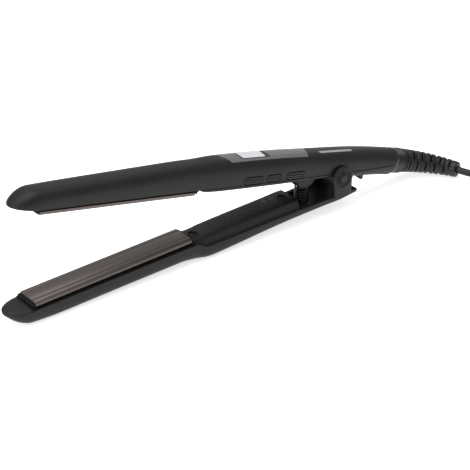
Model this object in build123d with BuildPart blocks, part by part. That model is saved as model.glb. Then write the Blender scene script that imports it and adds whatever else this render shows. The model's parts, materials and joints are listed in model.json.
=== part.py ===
from build123d import *
import os
from math import cos, pi, radians, sin, tan

# A slim hair-straightening iron lying open on a table. Both arms are drawn closed, with X from the nose
# tip to the tail, Z = 0 where the two plates meet, and +Y on the side away from the buttons. Each
# finished piece is then turned about the hinge to where its arm rests.

# ---- driving dimensions, millimetres ----
hinge_x = 239.3
hinge_z = 2.0
opening = 14.15
nose_dip = 1.66
heel_x = 142.0
heel_depth = 18.6

plate_start = 17.0
plate_length = 110.0
plate_half = 8.5
plate_thick = 2.75
face_gap = 0.15
plate_travel = 0.8

wall = 1.8
seam = 4.5
low_seam = 8.6
low_seam_start = 134.0
corner = 6.0
tail_axis_x = 294.6
tail_axis_z = 3.7
tail_droop = 6.0
tail_radius = 7.7

handle_start = 129.5
cover_end = 207.0
pin_radius = 2.0
running_gap = 0.05
ear_inside = 10.4
ear_outside = 12.9
ear_radius = 7.8

button_centres = (168.5, 184.4, 201.5)
button_lengths = (14.0, 11.4, 14.8)
button_height = 4.2
button_z = 7.2
button_proud = 0.6
button_gap = 0.3

panel_start = 149.0
panel_end = 216.0
panel_half = 6.8
display_x = 172.0
display_length = 17.6
display_width = 7.0
bezel_margin = 1.6
skin = 0.9

relief_radius = 7.5
relief_end_radius = 4.8
relief_bend = 70.8
relief_bend_radius = 33.8
relief_lift = 8.0

cord_diameter = 4.5
coil_turn_radius = 19.2
coil_across = 3
coil_high = 5

# (distance from the nose, half width, height above the closing plane) of each arm's outer shell
upper_stations = (
    (0.2, 1.6, 6.6), (1.0, 3.5, 8.0), (2.2, 5.1, 9.2), (4.0, 6.7, 10.6), (6.3, 7.9, 11.9),
    (9.0, 9.0, 12.9), (12.3, 9.7, 13.8), (16.0, 10.0, 14.3),
    (35.0, 10.0, 15.2), (80.0, 10.0, 17.2), (125.0, 10.0, 19.0), (145.0, 10.4, 19.9),
    (190.0, 10.7, 18.8), (222.0, 10.1, 17.4), (250.0, 9.9, 15.8), (268.0, 9.1, 14.2), (289.0, 7.8, 12.1),
)
lower_stations = (
    (0.2, 1.6, 6.6), (1.0, 3.5, 8.2), (2.2, 5.1, 9.5), (4.0, 6.7, 10.8), (6.3, 7.9, 12.0),
    (9.0, 9.0, 13.1), (12.3, 9.7, 14.1), (16.0, 10.0, 14.8),
    (35.0, 10.0, 15.6), (80.0, 10.0, 15.4), (119.0, 10.0, 15.4), (131.0, 10.2, 17.0),
    (142.0, 10.5, 18.8), (156.0, 10.9, 18.1), (190.0, 11.2, 16.0), (225.0, 12.2, 14.5),
    (238.0, 12.9, 14.0), (250.0, 12.7, 12.7),
)

# ---- where the arms rest ----
dip = radians(nose_dip)
heel_run = heel_x - hinge_x
heel_drop = -heel_depth - hinge_z
rest_x = -(heel_run * cos(dip) - heel_drop * sin(dip))
rest_z = -(heel_run * sin(dip) + heel_drop * cos(dip))
to_hinge = Location((-hinge_x, 0, -hinge_z))
lower_seat = Location((rest_x, 0, rest_z), (0, -nose_dip, 0)) * to_hinge
upper_seat = Location((rest_x, 0, rest_z), (0, opening - nose_dip, 0)) * to_hinge
table = Location()

os.makedirs("parts", exist_ok=True)


def write(block, name, seat):
    """Turns a finished piece to where it rests, names it and writes it."""
    block.part = block.part.moved(seat)
    block.part.label = name
    export_step(block.part, f"parts/{name}.step")


def across(x):
    """A plane square to the arm, its x along +Y and its y along +Z."""
    return Plane(origin=(x, 0, 0), x_dir=(0, 1, 0), z_dir=(1, 0, 0))


def beside(y):
    """A plane along the arm, facing the button side, its x along +X and its y along +Z."""
    return Plane(origin=(0, y, 0), x_dir=(1, 0, 0), z_dir=(0, -1, 0))


def arch(x, half, low, high, side):
    """One section of a shell: straight sides with two round shoulders, above or below the closing plane."""
    radius = min(corner, 0.75 * half, 0.75 * (high - low))
    with BuildSketch(across(x)) as section:
        with BuildLine():
            Line((-half, side * low), (half, side * low))
            Line((half, side * low), (half, side * (high - radius)))
            ThreePointArc(
                (half, side * (high - radius)),
                (half - radius * (1 - cos(radians(45))), side * (high - radius * (1 - cos(radians(45))))),
                (half - radius, side * high),
            )
            Line((half - radius, side * high), (radius - half, side * high))
            ThreePointArc(
                (radius - half, side * high),
                (radius * (1 - cos(radians(45))) - half, side * (high - radius * (1 - cos(radians(45))))),
                (-half, side * (high - radius)),
            )
            Line((-half, side * (high - radius)), (-half, side * low))
        make_face()
    return section.sketch


def hull(stations, low, inset, side):
    """The solid inside an arm's outer surface, pulled in by inset."""
    with BuildPart() as body:
        loft(sections=[arch(x, half - inset, low, high - inset, side) for x, half, high in stations], ruled=True)
    return body.part


def between(stations, first, last):
    """The stations of an arm from first to last along it, with the two ends worked out between neighbours."""
    def at(x):
        for a, b in zip(stations, stations[1:]):
            if a[0] <= x <= b[0]:
                share = (x - a[0]) / (b[0] - a[0])
                return (x, a[1] + share * (b[1] - a[1]), a[2] + share * (b[2] - a[2]))
    middle = [s for s in stations if first + 2 < s[0] < last - 2]
    return [at(first), *middle, at(last)]


def band(stations, first, last, inset):
    """The outline of an arm between two stations, seen from above, pulled in by inset at its sides."""
    plan = between(stations, first, last)
    right = [(x, half - inset) for x, half, _ in plan]
    left = [(x, inset - half) for x, half, _ in reversed(plan)]
    return [*right, *left]


def block(x0, x1, half, z0, z1, y=0.0):
    """A plain bar along the arm, for what is sealed inside it."""
    with BuildPart() as bar:
        with BuildSketch(Plane.XY.offset(min(z0, z1))):
            with Locations(((x0 + x1) / 2, y)):
                Rectangle(x1 - x0, 2 * half)
        extrude(amount=abs(z1 - z0))
    return bar.part


def cushions(side):
    """Four silicone pads that push one plate out of its carrier."""
    with BuildPart() as pads:
        low = side * (face_gap + plate_thick)
        with BuildSketch(Plane.XY.offset(low)):
            with Locations((24, -5), (24, 5), (120, -5), (120, 5)):
                Circle(1.8)
        extrude(amount=side * (plate_travel + 0.3))
    return pads


def plate(side):
    """One ceramic-coated plate, flat towards the hair, with round long edges."""
    with BuildPart() as slab:
        with BuildSketch(across(plate_start)):
            with Locations((0, side * (face_gap + plate_thick / 2))):
                Rectangle(2 * plate_half, plate_thick)
        extrude(amount=plate_length)
        long_edges = slab.edges().filter_by(Axis.X).group_by(Axis.Z)
        fillet(long_edges[0] if side > 0 else long_edges[-1], 2.0)
    return slab


def carrier(side):
    """The frame that a plate floats in: a base with a window for the heater, and a lip at each end."""
    base_low = face_gap + plate_thick + plate_travel + 0.3
    lip_low = 1.7
    end_run = 2.1
    carrier_half = 7.9
    clear = 0.3
    with BuildPart() as frame:
        with BuildSketch(Plane.XY.offset(side * base_low)):
            with Locations((plate_start + plate_length / 2, 0)):
                Rectangle(plate_length + 2 * end_run, 2 * carrier_half)
                Rectangle(86, 11.4, mode=Mode.SUBTRACT)
        extrude(amount=side * 2.4)
        lip = end_run - clear
        with BuildSketch(Plane.XY.offset(side * lip_low)):
            with Locations((plate_start - clear - lip / 2, 0), (plate_start + plate_length + clear + lip / 2, 0)):
                RectangleRounded(lip, 2 * carrier_half, 0.8)
        extrude(amount=side * (base_low - lip_low))
    return frame


def wire_run(x0, x1, y0, side):
    """A lead: a straight round wire along the arm."""
    with BuildPart() as wire:
        with BuildSketch(Plane.YZ.offset(x0)):
            with Locations((y0, side * 8.6)):
                Circle(0.9)
        extrude(amount=x1 - x0)
    return wire.part


# ---- upper arm: outer shell, panel, display ----
tail_lean = radians(tail_droop)
tail = Plane(
    origin=(tail_axis_x, 0, tail_axis_z), x_dir=(0, 1, 0), z_dir=(cos(tail_lean), 0, -sin(tail_lean)),
)
collar_start = -9.0
shell_end = tail.offset(collar_start - 0.3)

upper_hull = hull(upper_stations, seam, 0, 1)
upper_room = hull(between(upper_stations, 5.0, 283.0), seam - 1, wall, 1)
under_skin = hull(upper_stations, seam - 1, skin, 1)


def inlay(outline):
    """The part of the shell's top skin that lies above an outline."""
    with BuildPart() as piece:
        add(upper_hull)
        extrude(outline.sketch, amount=40, mode=Mode.INTERSECT)
        add(under_skin, mode=Mode.SUBTRACT)
    return piece.part


with BuildSketch() as panel_outline:
    with BuildLine():
        Polyline(
            (panel_start + 3, -panel_half), (panel_end - 4, -panel_half), (panel_end, panel_half),
            (panel_start - 3, panel_half), close=True,
        )
    make_face()

with BuildSketch() as bezel_outline:
    with Locations((display_x, 0)):
        Rectangle(display_length + 2 * bezel_margin, display_width + 2 * bezel_margin)

with BuildSketch() as window_outline:
    with Locations((display_x, 0)):
        Rectangle(display_length, display_width)

panel_skin = inlay(panel_outline)
bezel_skin = inlay(bezel_outline)
window_skin = inlay(window_outline)

with BuildPart() as upper_outer_shell:
    add(upper_hull)
    add(upper_room, mode=Mode.SUBTRACT)
    add(panel_skin, mode=Mode.SUBTRACT)
    with BuildSketch(Plane.XY.offset(10)):
        with Locations((display_x, 0)):
            Rectangle(display_length - 1, display_width - 1)
    extrude(amount=15, mode=Mode.SUBTRACT)
    for centre, length in zip(button_centres, button_lengths):
        with BuildSketch(beside(-8)):
            with Locations((centre, button_z)):
                SlotOverall(length + 2 * button_gap, button_height + 2 * button_gap)
        extrude(amount=5, mode=Mode.SUBTRACT)
    with BuildSketch(beside(-8)):
        with Locations((211.5, 9.2)):
            Circle(0.8)
    extrude(amount=5, mode=Mode.SUBTRACT)
    with BuildSketch(tail.offset(-14)):
        Circle(6.0)
    extrude(amount=20, mode=Mode.SUBTRACT)
    split(bisect_by=shell_end, keep=Keep.BOTTOM)
write(upper_outer_shell, "upper_outer_shell", upper_seat)

with BuildPart() as control_panel:
    add(panel_skin)
    add(bezel_skin, mode=Mode.SUBTRACT)
write(control_panel, "control_panel", upper_seat)

with BuildPart() as display_bezel:
    add(bezel_skin)
    add(window_skin, mode=Mode.SUBTRACT)
write(display_bezel, "display_bezel", upper_seat)

with BuildPart() as display_window:
    add(window_skin)
write(display_window, "display_window", upper_seat)

with BuildPart() as display_module:
    add(block(160, 184, 5.2, 13.6, 16.6))
write(display_module, "display_module", upper_seat)

with BuildPart() as control_board:
    add(block(148, 226, 7.4, 11.2, 12.6))
write(control_board, "control_board", upper_seat)

with BuildPart() as indicator_lens:
    with BuildSketch(beside(-8)):
        with Locations((211.5, 9.2)):
            Circle(0.8)
    extrude(amount=2.75)
write(indicator_lens, "indicator_lens", upper_seat)

# ---- buttons and what they press ----
for number, (centre, length) in enumerate(zip(button_centres, button_lengths), start=1):
    with BuildPart() as button:
        with BuildSketch(beside(-8.4)):
            with Locations((centre, button_z)):
                SlotOverall(length, button_height)
        extrude(amount=10.7 + button_proud - 8.4)
        fillet(button.faces().sort_by(Axis.Y)[0].edges(), 0.5)
        with BuildSketch(beside(-7.6)):
            with Locations((centre, button_z)):
                SlotOverall(length + 1.2, button_height + 1.2)
        extrude(amount=0.9)
    write(button, f"button_{number}", upper_seat)

with BuildPart() as button_switches:
    for centre in button_centres:
        with BuildSketch(beside(-5.2)):
            with Locations((centre, button_z)):
                Rectangle(4.5, 4.0)
        extrude(amount=1.1)
        with BuildSketch(beside(-6.3)):
            with Locations((centre, button_z)):
                Circle(0.9)
        extrude(amount=0.4)
write(button_switches, "button_switches", upper_seat)

with BuildPart() as button_board:
    with BuildSketch(beside(-4.0)):
        with Locations((186, 7.4)):
            Rectangle(58, 5.2)
    extrude(amount=1.2)
write(button_board, "button_board", upper_seat)

# ---- upper arm: inner cover with the hinge barrel and the underside of the tail ----
tail_cover_stations = (
    (232.0, 10.0, -1.2), (250.0, 9.9, -0.4), (268.0, 9.1, 1.4), (289.0, 7.8, 3.6),
)


def tray(inset, floor_inset, first, last):
    """The cover's outline below the seam along the straight handle, pulled in by inset."""
    with BuildPart() as slab:
        with BuildSketch(Plane.XY.offset(1.2 + floor_inset)):
            with BuildLine():
                Polyline(*band(upper_stations, first, last, inset), close=True)
            make_face()
        extrude(amount=seam - 1.2 - floor_inset)
    return slab


with BuildPart() as upper_inner_cover:
    add(tray(0, 0, handle_start, 233.0).part)
    with BuildSketch(Plane.XZ.offset(-7.0)):
        with Locations((214.5, 3.0)):
            Circle(8.0)
    extrude(amount=14.0)
    with BuildSketch(Plane.XZ.offset(-12.0)):
        with Locations((214.5, seam + 10)):
            Rectangle(30, 20)
    extrude(amount=24.0, mode=Mode.SUBTRACT)
    add(tray(wall, 1.5, handle_start + 2, 228.0).part, mode=Mode.SUBTRACT)
    add(hull(tail_cover_stations, -seam, 0, -1))
    add(hull(tail_cover_stations[1:], -seam - 1, wall, -1), mode=Mode.SUBTRACT)
    with BuildSketch(Plane.XZ.offset(-10.1)):
        with Locations((hinge_x, hinge_z)):
            Circle(7.2)
    extrude(amount=20.2)
    with BuildSketch(Plane.XY.offset(seam)):
        with Locations((hinge_x, 0)):
            Rectangle(20, 24)
    extrude(amount=8, mode=Mode.SUBTRACT)
    with BuildSketch(Plane.XZ.offset(-10.1)):
        with Locations((hinge_x, hinge_z)):
            Circle(pin_radius + running_gap)
    extrude(amount=20.2, mode=Mode.SUBTRACT)
    with BuildSketch(Plane.XY.offset(-6)):
        with Locations((258.2, 0)):
            Rectangle(16.4, 7.8)
    extrude(amount=6, mode=Mode.SUBTRACT)
    with BuildSketch(tail.offset(-14)):
        Circle(6.0)
    extrude(amount=20, mode=Mode.SUBTRACT)
    split(bisect_by=shell_end, keep=Keep.BOTTOM)
write(upper_inner_cover, "upper_inner_cover", upper_seat)

# ---- plates, carriers and heaters, the same in both arms ----
for arm, side, seat in (("upper", 1, upper_seat), ("lower", -1, lower_seat)):
    back = face_gap + plate_thick
    write(plate(side), f"{arm}_plate", seat)
    write(carrier(side), f"{arm}_plate_carrier", seat)
    write(cushions(side), f"{arm}_float_pads", seat)
    with BuildPart() as heater:
        add(block(34, 98, 5.0, side * back, side * (back + 2.4)))
    write(heater, f"{arm}_heater", seat)
    with BuildPart() as clamp:
        add(block(36, 96, 4.0, side * (back + 2.4), side * (back + 3.0)))
        for x in (46, 66, 86):
            with BuildSketch(Plane.XY.offset(min(side * (back + 2.4), side * (back + 3.0)))):
                with Locations((x, 0)):
                    Circle(1.5)
            extrude(amount=0.6, mode=Mode.SUBTRACT)
    write(clamp, f"{arm}_heater_clamp", seat)
    with BuildPart() as leads:
        add(wire_run(131.0, 205.0, 4.4, side))
        add(wire_run(131.0, 205.0, 6.4, side))
    write(leads, f"{arm}_leads", seat)

with BuildPart() as temperature_sensor:
    add(block(101, 109, 1.6, face_gap + plate_thick, face_gap + plate_thick + 1.8))
write(temperature_sensor, "temperature_sensor", upper_seat)

with BuildPart() as thermal_fuse:
    with BuildSketch(Plane.YZ.offset(134)):
        with Locations((-4.5, 8.6)):
            Circle(2.0)
    extrude(amount=11)
write(thermal_fuse, "thermal_fuse", upper_seat)

# ---- lower arm ----
lower_hull = hull(lower_stations, seam, 0, -1)
lower_room = hull(between(lower_stations, 5.0, 247.0), seam - 1, wall, -1)

with BuildPart() as lower_outer_shell:
    add(lower_hull)
    with BuildSketch(Plane.XZ.offset(-ear_outside)) as ear:
        with Locations((hinge_x, hinge_z)):
            Circle(ear_radius)
        with Locations((hinge_x, -4.0)):
            Rectangle(2 * ear_radius, 12.0)
    extrude(amount=2 * ear_outside)
    with BuildSketch(Plane.XZ.offset(-ear_inside)):
        with Locations((hinge_x, 4.0)):
            Rectangle(40, 18.5)
    extrude(amount=2 * ear_inside, mode=Mode.SUBTRACT)
    add(lower_room, mode=Mode.SUBTRACT)
    with BuildSketch(Plane.XY.offset(-low_seam)):
        with Locations(((low_seam_start + hinge_x - ear_radius) / 2, 0)):
            Rectangle(hinge_x - ear_radius - low_seam_start, 30)
    extrude(amount=low_seam - 3.0, mode=Mode.SUBTRACT)
    with BuildSketch(Plane.XZ.offset(-14)):
        with Locations((hinge_x, hinge_z)):
            Circle(pin_radius)
    extrude(amount=28, mode=Mode.SUBTRACT)
    with BuildSketch(Plane(lower_seat.inverse())):
        Rectangle(500, 60)
    extrude(amount=-20, mode=Mode.SUBTRACT)
write(lower_outer_shell, "lower_outer_shell", lower_seat)

with BuildPart() as lower_inner_cover:
    with BuildSketch(Plane.XY.offset(-low_seam)):
        with BuildLine():
            Polyline(*band(lower_stations, low_seam_start + 0.3, cover_end, 0.4), close=True)
        make_face()
        with BuildLine():
            Polyline(*band(lower_stations, low_seam_start + 0.3, cover_end, 2.2), close=True)
        make_face(mode=Mode.SUBTRACT)
    extrude(amount=low_seam - seam)
    with BuildSketch(Plane.XY.offset(-seam)):
        with BuildLine():
            Polyline(*band(lower_stations, handle_start, cover_end, 0.4), close=True)
        make_face()
    extrude(amount=1.6)
    with BuildSketch(Plane.XY.offset(-seam + 1.6)):
        with Locations(((handle_start + cover_end) / 2, 0)):
            RectangleRounded(cover_end - handle_start - 6, 17.6, 3)
    extrude(amount=-0.9, mode=Mode.SUBTRACT)
    with BuildSketch(Plane.XY.offset(-seam + 0.7)):
        with Locations(((handle_start + cover_end) / 2 + 4, 0)):
            RectangleRounded(cover_end - handle_start - 18, 13.4, 3)
    extrude(amount=2.2, taper=25)
    with BuildSketch(Plane.XY.offset(-seam - 2.0)):
        with Locations((handle_start + 4.2, 0), (cover_end - 6.0, 0)):
            Circle(3.0)
    extrude(amount=2.0)
    with BuildSketch(Plane.XY.offset(-seam - 2.0)):
        with Locations((handle_start + 4.2, 0), (cover_end - 6.0, 0)):
            Circle(1.2)
    extrude(amount=8.0, mode=Mode.SUBTRACT)
    with BuildSketch(Plane.XY.offset(-seam - 0.4)):
        with Locations((handle_start + 4.2, 0), (cover_end - 6.0, 0)):
            Circle(2.3)
    extrude(amount=8.0, mode=Mode.SUBTRACT)
write(lower_inner_cover, "lower_inner_cover", lower_seat)

with BuildPart() as lower_cover_screws:
    with BuildSketch(Plane.XY.offset(-seam - 0.4)):
        with Locations((handle_start + 4.2, 0), (cover_end - 6.0, 0)):
            Circle(2.1)
    extrude(amount=1.3)
    with BuildSketch(Plane.XY.offset(-seam - 8.0)):
        with Locations((handle_start + 4.2, 0), (cover_end - 6.0, 0)):
            Circle(1.15)
    extrude(amount=7.6)
write(lower_cover_screws, "lower_cover_screws", lower_seat)

# ---- hinge ----
with BuildPart() as hinge_pin:
    with BuildSketch(Plane.XZ.offset(-ear_outside + 0.2)):
        with Locations((hinge_x, hinge_z)):
            Circle(pin_radius)
    extrude(amount=2 * ear_outside - 0.4)
write(hinge_pin, "hinge_pin", lower_seat)

with BuildPart() as pivot_caps:
    for face, way in ((-ear_outside, 1), (ear_outside, -1)):
        for radius, height in ((5.4, 0.6), (3.6, 1.1)):
            with BuildSketch(beside(face)):
                with Locations((hinge_x, hinge_z)):
                    Circle(radius)
            extrude(amount=way * height)
write(pivot_caps, "pivot_caps", lower_seat)

spring_x = 216.5
spring_base = -12.3
spring_length = 12.4
with BuildPart() as return_spring:
    with BuildLine(Plane.XY.offset(0)) as coil_line:
        Helix(pitch=spring_length / 5.5, height=spring_length - 1.2, radius=4.0)
    with BuildSketch(Plane(origin=coil_line.line @ 0, z_dir=coil_line.line % 0)):
        Circle(0.6)
    sweep()
return_spring.part = return_spring.part.moved(Location((spring_x, 0, spring_base + 0.6)))
write(return_spring, "return_spring", lower_seat)

# ---- closing lock: a slider under the tail and the hook it holds ----
with BuildPart() as lock_slider:
    add(block(254.5, 266.0, 3.6, -1.5, -0.2))
    add(block(262.0, 264.6, 3.6, -4.6, -1.5))
    fillet(lock_slider.edges().filter_by(Axis.Y).group_by(Axis.Z)[0], 0.8)
write(lock_slider, "lock_slider", upper_seat)

with BuildPart() as lock_catch:
    add(block(244.2, 247.0, 3.0, -7.2, -4.9))
    add(block(244.2, 246.0, 3.0, -11.2, -7.2))
write(lock_catch, "lock_catch", lower_seat)

# ---- swivel, strain relief and cord ----
with BuildPart() as swivel_bush:
    with BuildSketch(tail.offset(-21.5)):
        Circle(5.9)
        Circle(4.0, mode=Mode.SUBTRACT)
    extrude(amount=11.0)
write(swivel_bush, "swivel_bush", upper_seat)

with BuildPart() as swivel_collar:
    with BuildSketch(tail.offset(collar_start)):
        Circle(7.9)
    with BuildSketch(tail.offset(-0.3)):
        Circle(relief_radius + 0.2)
    loft()
    with BuildSketch(tail.offset(-23.4)):
        Circle(4.0 - running_gap)
    extrude(amount=15.0)
    with BuildSketch(tail.offset(-23.4)):
        Circle(5.4)
    extrude(amount=1.6)
    with BuildSketch(tail.offset(-24.0)):
        Circle(2.8)
    extrude(amount=30.0, mode=Mode.SUBTRACT)
write(swivel_collar, "swivel_collar", upper_seat)

with BuildPart() as inner_cord:
    with BuildSketch(tail.offset(-42.0)):
        Circle(cord_diameter / 2)
    extrude(amount=42.0)
write(inner_cord, "inner_cord", upper_seat)

with BuildPart() as cord_clamp:
    with BuildSketch(tail.offset(-38.0)):
        Rectangle(13.0, 7.0)
        Circle(cord_diameter / 2, mode=Mode.SUBTRACT)
    extrude(amount=7.0)
write(cord_clamp, "cord_clamp", upper_seat)

tail_rest = Plane(upper_seat * tail.location)
lift = radians(relief_lift)
bend_way = tail_rest.x_dir * -cos(lift) + tail_rest.y_dir * sin(lift)


def relief_plane(turn):
    """The plane square to the strain relief's bent axis, where it has turned by so many degrees."""
    angle = radians(turn)
    step = tail_rest.z_dir * sin(angle) + bend_way * (1 - cos(angle))
    heading = tail_rest.z_dir * cos(angle) + bend_way * sin(angle)
    return Plane(origin=tail_rest.origin + step * relief_bend_radius, z_dir=heading)


with BuildPart() as strain_relief:
    relief_steps = 6
    relief_rings = []
    for step in range(relief_steps + 1):
        share = step / relief_steps
        with BuildSketch(relief_plane(relief_bend * share)) as ring:
            Circle(relief_radius + share * (relief_end_radius - relief_radius))
        relief_rings.append(ring.sketch)
    loft(sections=relief_rings)
write(strain_relief, "strain_relief", table)

# the free cord, from the relief's end down to the table and into the coil
cord_route = [(182.3, -22.46, 5.98), (185.14, -29.93, 5.6), (192.1, -36.4, 4.8), (205, -38.2, 3.4), (238, -38.4, 2.25)]
# and from the top of the coil to the plug
plug_route = [(250, -35.2, 20.25), (262.6, -28.3, 19), (274.4, -24, 13.5), (286.6, -21.9, 7.2)]


def tube(points):
    """A round cord along straight runs joined by the largest arcs that the runs allow."""
    stops = [Vector(*p) for p in points]
    radii = []
    for a, b, c in zip(stops, stops[1:], stops[2:]):
        run = min((b - a).length, (c - b).length)
        radii.append(0.45 * run / tan(radians((b - a).get_angle(c - b)) / 2))
    print("cord radii", [round(r, 1) for r in radii])
    with BuildPart() as cord:
        with BuildLine() as route:
            FilletPolyline(*points, radius=radii)
        with BuildSketch(Plane(origin=route.line @ 0, z_dir=route.line % 0)):
            Circle(cord_diameter / 2)
        sweep(path=route.line)
    expected = sum(edge.length for edge in route.edges()) * pi * cord_diameter**2 / 4
    print("cord volume", round(cord.part.volume, 1), "and section times length", round(expected, 1))
    return cord


write(tube(cord_route), "power_cord", table)
write(tube(plug_route), "plug_lead", table)

outer_turn = coil_turn_radius + cord_diameter * (coil_across - 1) / 2
last_run = Vector(*cord_route[-1]) - Vector(*cord_route[-2])
into_coil = Vector(last_run.X, last_run.Y, 0).normalized()
coil_centre = Vector(*cord_route[-1]) + Vector(-into_coil.Y, into_coil.X, 0) * outer_turn
coil_inside = coil_turn_radius - cord_diameter * coil_across / 2
coil_outside = coil_turn_radius + cord_diameter * coil_across / 2
coil_height = cord_diameter * coil_high
coil_floor = Plane(origin=(coil_centre.X, coil_centre.Y, 0))
print("coil centre", coil_centre)

with BuildPart() as cord_coil:
    with BuildSketch(coil_floor):
        Circle(coil_outside)
        Circle(coil_inside, mode=Mode.SUBTRACT)
    extrude(amount=coil_height)
    chamfer(cord_coil.edges().filter_by(GeomType.CIRCLE), 1.2)
write(cord_coil, "cord_coil", table)

tie_angle = radians(100)
tie_middle = coil_centre + Vector(cos(tie_angle), sin(tie_angle), 0) * coil_turn_radius
tie_face = Plane(
    origin=(tie_middle.X, tie_middle.Y, coil_height / 2 + 0.45),
    x_dir=(cos(tie_angle), sin(tie_angle), 0),
    z_dir=(-sin(tie_angle), cos(tie_angle), 0),
)
with BuildPart() as coil_tie:
    with BuildSketch(tie_face.offset(-3.5)):
        RectangleRounded(cord_diameter * coil_across + 2, coil_height + 0.9, 2.4)
        RectangleRounded(cord_diameter * coil_across + 0.2, coil_height - 0.7, 1.6, mode=Mode.SUBTRACT)
    extrude(amount=7.0)
write(coil_tie, "coil_tie", table)

plug_heading = Vector(*plug_route[-1]) - Vector(*plug_route[-2])
plug_way = Vector(plug_heading.X, plug_heading.Y, 0).normalized()
plug_rear = Plane(origin=plug_route[-1], x_dir=(plug_way.Y, -plug_way.X, 0), z_dir=(plug_way.X, plug_way.Y, 0))
with BuildPart() as plug_body:
    with BuildSketch(plug_rear):
        Circle(3.2)
    with BuildSketch(plug_rear.offset(20)):
        Circle(4.8)
    loft()
    with BuildSketch(plug_rear.offset(20)):
        RectangleRounded(12.0, 12.0, 4.0)
    with BuildSketch(plug_rear.offset(38)):
        RectangleRounded(21.0, 13.6, 4.0)
    with BuildSketch(plug_rear.offset(54)):
        RectangleRounded(26.0, 13.6, 4.0)
    loft()
write(plug_body, "plug_body", table)

with BuildPart() as plug_pins:
    with BuildSketch(plug_rear.offset(54)):
        with Locations((-9.3, 0), (9.3, 0)):
            Circle(2.0)
    extrude(amount=19.0)
    fillet(plug_pins.faces().filter_by(GeomType.PLANE).group_by(Axis(plug_rear.origin, plug_rear.z_dir))[-1].edges(), 1.0)
write(plug_pins, "plug_pins", table)
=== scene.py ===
import json
from math import cos, exp, pi, radians, sin, sqrt, tan, tau

import bmesh
import bpy
from mathutils import Matrix, Vector


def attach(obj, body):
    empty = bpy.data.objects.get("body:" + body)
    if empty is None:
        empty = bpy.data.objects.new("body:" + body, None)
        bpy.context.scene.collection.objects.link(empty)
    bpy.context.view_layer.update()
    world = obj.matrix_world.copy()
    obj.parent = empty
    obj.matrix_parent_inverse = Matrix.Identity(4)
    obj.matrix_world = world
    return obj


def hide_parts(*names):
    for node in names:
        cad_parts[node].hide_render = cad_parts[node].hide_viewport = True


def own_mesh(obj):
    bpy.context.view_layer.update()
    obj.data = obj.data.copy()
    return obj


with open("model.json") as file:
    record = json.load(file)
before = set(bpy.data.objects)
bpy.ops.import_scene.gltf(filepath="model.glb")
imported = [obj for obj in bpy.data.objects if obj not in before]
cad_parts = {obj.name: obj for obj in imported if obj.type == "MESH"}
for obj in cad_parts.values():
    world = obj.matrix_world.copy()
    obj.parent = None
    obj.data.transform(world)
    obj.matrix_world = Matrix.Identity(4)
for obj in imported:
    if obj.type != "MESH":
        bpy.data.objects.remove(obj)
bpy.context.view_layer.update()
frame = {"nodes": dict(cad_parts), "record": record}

# A slim hair-straightening iron lying open on a table. Sizes are in millimetres in the frame of the closed
# iron: X from the nose tip to the tail, Z = 0 where the plates meet, -Y the side with the buttons. Each arm
# has a seat, the matrix that turns it about the hinge to where it rests and brings it to metres.

MM = 0.001
HINGE = Vector((239.3, 0, 2.0))
HINGE_AT_REST = Vector((96.662, 0, 23.41))
OPENING = 14.15
NOSE_DIP = 1.66
SEAM = 4.5
WALL = 1.8
NOSE = 16.0
SEAM_BEVEL = 0.3


def seat(turn):
    turned = Matrix.Rotation(radians(turn), 4, "Y") @ Matrix.Translation(-HINGE)
    return Matrix.Scale(MM, 4) @ Matrix.Translation(HINGE_AT_REST) @ turned


LOWER = seat(-NOSE_DIP)
UPPER = seat(OPENING - NOSE_DIP)
TABLE = Matrix.Scale(MM, 4)

# ---------------------------------------------------------------- camera


def photographer():
    """The camera, low beside the nose, looking along the open iron."""
    data = bpy.data.cameras.new("camera")
    data.sensor_width = 36.0
    data.lens = 191.5
    data.clip_end = 20.0
    camera = bpy.data.objects.new("camera", data)
    bpy.context.scene.collection.objects.link(camera)
    place = Vector((-0.76965, -1.02789, 0.77126))
    forward = Vector((0.52566, 0.68148, -0.50919)).normalized()
    right = Vector((0.79529, -0.60616, 0.00975)).normalized()
    up = right.cross(forward)
    turn = Matrix((right, up, -forward)).transposed().to_4x4()
    camera.matrix_world = Matrix.Translation(place) @ turn
    bpy.context.scene.camera = camera


photographer()

# ---------------------------------------------------------------- finishes


def blank(name):
    material = bpy.data.materials.new(name)
    material.use_nodes = True
    shader = material.node_tree.nodes["Principled BSDF"]
    return material, material.node_tree, shader


def here(tree, stretch=(1, 1, 1)):
    """Object coordinates, stretched."""
    place = tree.nodes.new("ShaderNodeTexCoord")
    mapping = tree.nodes.new("ShaderNodeMapping")
    mapping.inputs["Scale"].default_value = stretch
    tree.links.new(place.outputs["Object"], mapping.inputs["Vector"])
    return mapping.outputs["Vector"]


def noise(tree, where, scale, detail=3.0, roughness=0.6):
    node = tree.nodes.new("ShaderNodeTexNoise")
    node.inputs["Scale"].default_value = scale
    node.inputs["Detail"].default_value = detail
    node.inputs["Roughness"].default_value = roughness
    tree.links.new(where, node.inputs["Vector"])
    return node.outputs["Fac"]


def spread(tree, value, low, high, start=0.3, end=0.7):
    """Maps a pattern's value to between low and high."""
    node = tree.nodes.new("ShaderNodeMapRange")
    node.inputs["From Min"].default_value = start
    node.inputs["From Max"].default_value = end
    node.inputs["To Min"].default_value = low
    node.inputs["To Max"].default_value = high
    tree.links.new(value, node.inputs["Value"])
    return node.outputs["Result"]


def tint(tree, value, dark, light):
    node = tree.nodes.new("ShaderNodeValToRGB")
    node.color_ramp.elements[0].position = 0.3
    node.color_ramp.elements[0].color = (*dark, 1)
    node.color_ramp.elements[1].position = 0.7
    node.color_ramp.elements[1].color = (*light, 1)
    tree.links.new(value, node.inputs["Fac"])
    return node.outputs["Color"]


def raise_grain(tree, shader, value, strength, depth):
    bump = tree.nodes.new("ShaderNodeBump")
    bump.inputs["Strength"].default_value = strength
    bump.inputs["Distance"].default_value = depth
    tree.links.new(value, bump.inputs["Height"])
    tree.links.new(bump.outputs["Normal"], shader.inputs["Normal"])


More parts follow.
